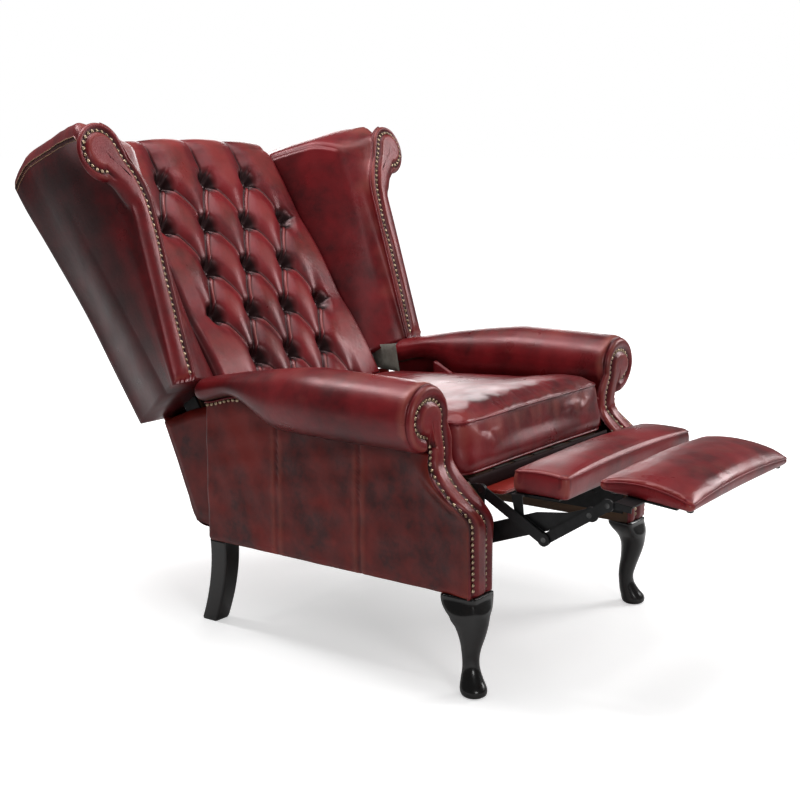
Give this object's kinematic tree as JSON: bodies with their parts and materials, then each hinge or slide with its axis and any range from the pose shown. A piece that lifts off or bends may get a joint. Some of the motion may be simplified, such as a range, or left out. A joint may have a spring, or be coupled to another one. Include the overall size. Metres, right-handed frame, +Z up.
{
  "type": "recliner",
  "caption": "High-back wing recliner with a deep-buttoned leather back, scroll arms with nail trim, curved black legs and a folding two-pad footrest.",
  "frame": {"origin": "on the floor, midway between the outside arms and 332 mm behind the front face of the base", "axes": "+Z up, the chair faces -Y, +X towards the sitter's left"},
  "size_m": [1.0714, 1.5578, 1.0611],
  "materials": {
    "oxblood_leather": "semi-gloss",
    "dark_leather": "semi-gloss",
    "black_lacquered_wood": "gloss",
    "frame_wood": "matte",
    "black_steel": "satin",
    "bright_steel": "satin",
    "webbing": "matte"
  },
  "bodies": {
    "base": {"side_rails": "frame_wood", "rear_rail": "frame_wood", "front_posts": "frame_wood", "arm_board_right": "frame_wood", "arm_board_left": "frame_wood", "outside_arm_right": "oxblood_leather", "outside_arm_left": "oxblood_leather", "inside_arm_right": "oxblood_leather", "inside_arm_left": "oxblood_leather", "arm_roll_right": "oxblood_leather", "arm_roll_left": "oxblood_leather", "arm_facing_right": "oxblood_leather", "arm_facing_left": "oxblood_leather", "front_leg_right": "black_lacquered_wood", "front_leg_left": "black_lacquered_wood", "rear_leg_right": "black_lacquered_wood", "rear_leg_left": "black_lacquered_wood", "leg_bolts": "bright_steel", "mechanism_plate_right": "black_steel", "mechanism_plate_left": "black_steel", "base_pins": "bright_steel", "back_hinge_blocks": "frame_wood", "mechanism_cross_bar": "black_steel", "seat_slide_rails": "black_steel", "back_flap": "dark_leather"},
    "seat": {"seat_side_rails": "frame_wood", "seat_front_rail": "frame_wood", "seat_rear_rail": "frame_wood", "seat_webbing": "webbing", "seat_cushion": "oxblood_leather", "seat_lip": "oxblood_leather"},
    "back": {"back_posts": "frame_wood", "back_top_rail": "frame_wood", "back_bottom_rail": "frame_wood", "back_webbing": "webbing", "inside_back": "oxblood_leather", "back_buttons": "dark_leather", "back_crest": "oxblood_leather", "outside_back": "dark_leather", "wing_frame_right": "frame_wood", "wing_frame_left": "frame_wood", "wing_right": "oxblood_leather", "wing_left": "oxblood_leather", "wing_facing_right": "oxblood_leather", "wing_facing_left": "oxblood_leather", "back_brackets": "black_steel"},
    "rear_links": {"rear_links": "black_steel", "rear_link_pins": "bright_steel"},
    "front_links": {"front_links": "black_steel", "front_link_pins": "bright_steel"},
    "drive_links": {"drive_links": "black_steel"},
    "drive_shaft": {"drive_shaft": "black_steel"},
    "footrest_inner": {"inner_pad_board": "frame_wood", "inner_pad": "oxblood_leather", "inner_pad_brackets": "black_steel"},
    "footrest_outer": {"outer_pad_board": "frame_wood", "outer_pad": "oxblood_leather", "outer_pad_brackets": "black_steel"}
  },
  "joints": [
    {"name": "footrest_fold", "type": "hinge", "parent": "base", "child": "rear_links", "pos_m": [0, -0.3, 0.384], "axis": [1, 0, 0], "range_deg": [0, 106.35]},
    {"name": "front_link_knee", "type": "hinge", "parent": "rear_links", "child": "front_links", "pos_m": [0, -0.434, 0.31], "axis": [1, 0, 0], "range_deg": [-95.82, 0]},
    {"name": "inner_pad_pivot", "type": "hinge", "parent": "rear_links", "child": "footrest_inner", "pos_m": [0, -0.434, 0.31], "axis": [1, 0, 0], "range_deg": [-16.37, 0]},
    {"name": "outer_pad_pivot", "type": "hinge", "parent": "front_links", "child": "footrest_outer", "pos_m": [0, -0.55881, 0.39321], "axis": [1, 0, 0], "range_deg": [0, 79.47]},
    {"name": "drive_link_pivot", "type": "hinge", "parent": "front_links", "child": "drive_links", "pos_m": [0, -0.524, 0.37], "axis": [1, 0, 0], "range_deg": [-10.57, 0]},
    {"name": "drive_shaft_turn", "type": "hinge", "parent": "base", "child": "drive_shaft", "pos_m": [0, -0.1065, 0.3255], "axis": [1, 0, 0], "range_deg": [0, 108.29]},
    {"name": "back_recline", "type": "hinge", "parent": "base", "child": "back", "pos_m": [0, 0.24, 0.345], "axis": [1, 0, 0], "range_deg": [0, 20], "deforming": ["back_flap"]},
    {"name": "seat_slide", "type": "slide", "parent": "base", "child": "seat", "axis": [0, 0.9984, -0.0558], "range_m": [0, 0.0401]}
  ],
  "couplings": [
    {"joint": "front_link_knee", "follows": "footrest_fold", "ratio": -0.9008},
    {"joint": "inner_pad_pivot", "follows": "footrest_fold", "ratio": -0.15374},
    {"joint": "outer_pad_pivot", "follows": "footrest_fold", "ratio": 0.74705},
    {"joint": "drive_link_pivot", "follows": "footrest_fold", "ratio": -0.09922},
    {"joint": "drive_shaft_turn", "follows": "footrest_fold", "ratio": 1.0181},
    {"joint": "seat_slide", "follows": "back_recline", "m_per_rad": 0.1145}
  ]
}
